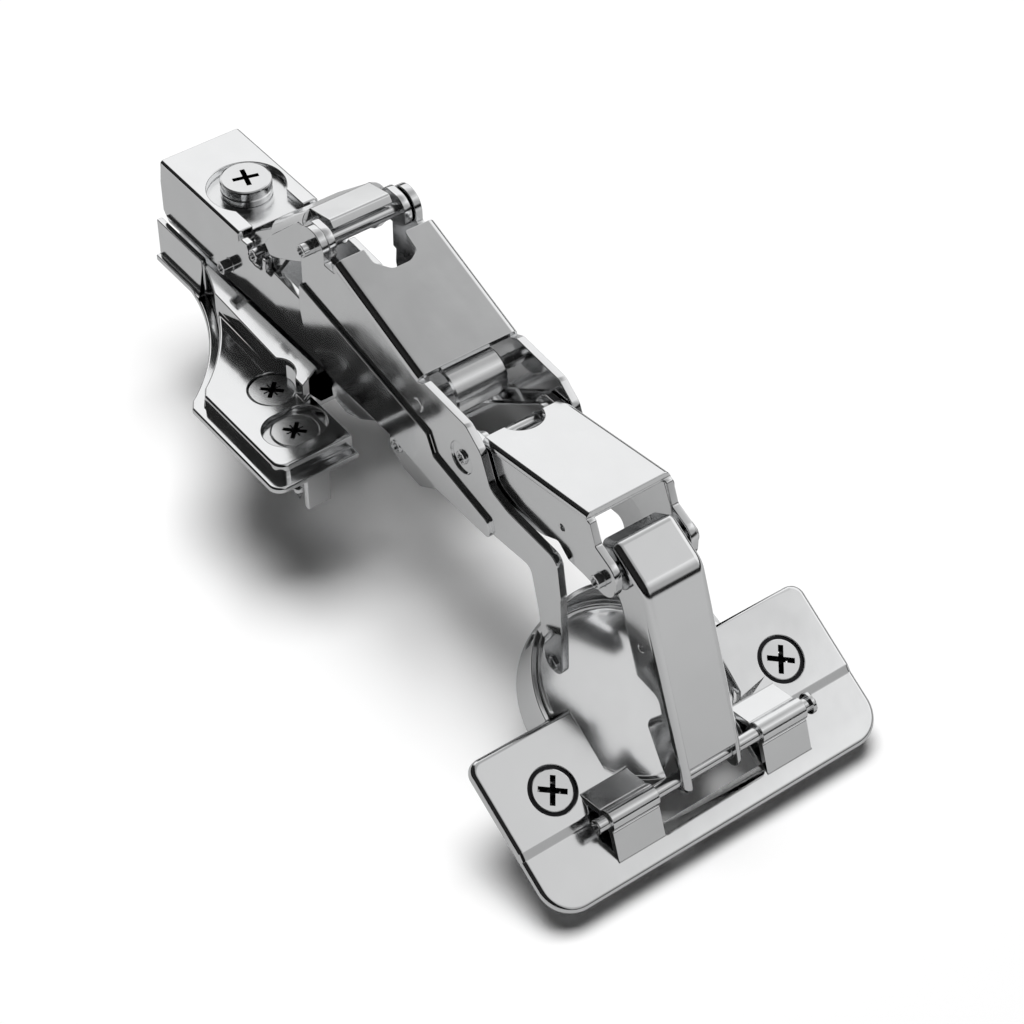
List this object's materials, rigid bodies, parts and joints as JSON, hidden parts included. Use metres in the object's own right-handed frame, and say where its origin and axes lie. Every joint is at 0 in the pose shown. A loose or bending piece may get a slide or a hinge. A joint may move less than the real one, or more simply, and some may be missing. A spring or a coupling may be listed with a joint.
{
  "type": "lazy susan hinge",
  "caption": "Wide-angle concealed cabinet hinge: a crossed-lever linkage between a winged mounting plate with a sliding arm and a round door cup with a screw flange.",
  "frame": {"origin": "on the cabinet panel's face, midway between the two round panel screws", "axes": "+X along the arm towards the door, +Y across the hinge, +Z out of the cabinet panel"},
  "size_m": [0.1566, 0.0696, 0.068],
  "materials": {
    "nickel_sheet": "bright nickel plate on pressed steel",
    "lever_sheet": "bright nickel plate on folded steel",
    "cup_sheet": "bright nickel plate on drawn steel",
    "pin_steel": "polished plated steel",
    "screw_steel": "plated steel",
    "inner_steel": "plain zinc plated steel"
  },
  "bodies": {
    "mounting": {"mounting_plate": "nickel_sheet", "clamp_straps": "inner_steel", "panel_screws": "screw_steel", "arm_carrier": "inner_steel", "carrier_rivets": "inner_steel"},
    "arm": {"hinge_arm": "nickel_sheet", "slide_plate": "inner_steel", "arm_rivet": "pin_steel", "nose_pin": "pin_steel"},
    "fixing": {"fixing_screw": "screw_steel", "screw_washer": "screw_steel"},
    "inner_lever": {"inner_lever": "lever_sheet", "knee_pin": "pin_steel"},
    "outer_lever": {"outer_lever": "lever_sheet", "bridge_pin": "pin_steel", "centre_pin": "pin_steel", "foot_axle": "pin_steel", "roller_pin": "pin_steel"},
    "roller": {"cam_roller": "pin_steel"},
    "rear_link": {"rear_link": "lever_sheet", "rear_pin": "pin_steel"},
    "front_link": {"front_link": "lever_sheet"},
    "cup": {"hinge_cup": "cup_sheet", "cup_pin": "pin_steel", "cup_screws": "screw_steel"}
  },
  "joints": [
    {"name": "arm_depth_slide", "type": "slide", "parent": "mounting", "child": "arm", "axis": [1, 0, 0], "range_m": [-0.002, 0.002]},
    {"name": "fixing_screw_turn", "type": "hinge", "parent": "mounting", "child": "fixing", "pos_m": [-0.031, 0, 0.0225], "axis": [0, 0, 1], "continuous": true},
    {"name": "door_swing", "type": "hinge", "parent": "arm", "child": "inner_lever", "pos_m": [0.0284, 0, 0.00729], "axis": [0, -1, 0], "range_deg": [-26.84, 94.45]},
    {"name": "scissor_turn", "type": "hinge", "parent": "inner_lever", "child": "outer_lever", "pos_m": [0.0493, 0, 0.02081], "axis": [0, -1, 0], "range_deg": [-94.03, 26.86]},
    {"name": "rear_link_turn", "type": "hinge", "parent": "outer_lever", "child": "rear_link", "pos_m": [0.0068, 0, 0.03754], "axis": [0, -1, 0], "range_deg": [-24.2, 84.64]},
    {"name": "front_link_turn", "type": "hinge", "parent": "inner_lever", "child": "front_link", "pos_m": [0.0842, 0, 0.01981], "axis": [0, -1, 0], "range_deg": [-90.94, 25.98]},
    {"name": "cup_turn", "type": "hinge", "parent": "front_link", "child": "cup", "pos_m": [0.102, 0, -0.0133], "axis": [0, -1, 0], "range_deg": [-33.44, 117.19]},
    {"name": "roller_turn", "type": "hinge", "parent": "outer_lever", "child": "roller", "pos_m": [0.0375, 0, 0.024], "axis": [0, 1, 0], "continuous": true}
  ],
  "couplings": [
    {"joint": "scissor_turn", "follows": "door_swing", "ratio": -0.9934},
    {"joint": "rear_link_turn", "follows": "door_swing", "ratio": 0.894},
    {"joint": "front_link_turn", "follows": "door_swing", "ratio": -0.9607},
    {"joint": "cup_turn", "follows": "door_swing", "ratio": 1.2386}
  ]
}
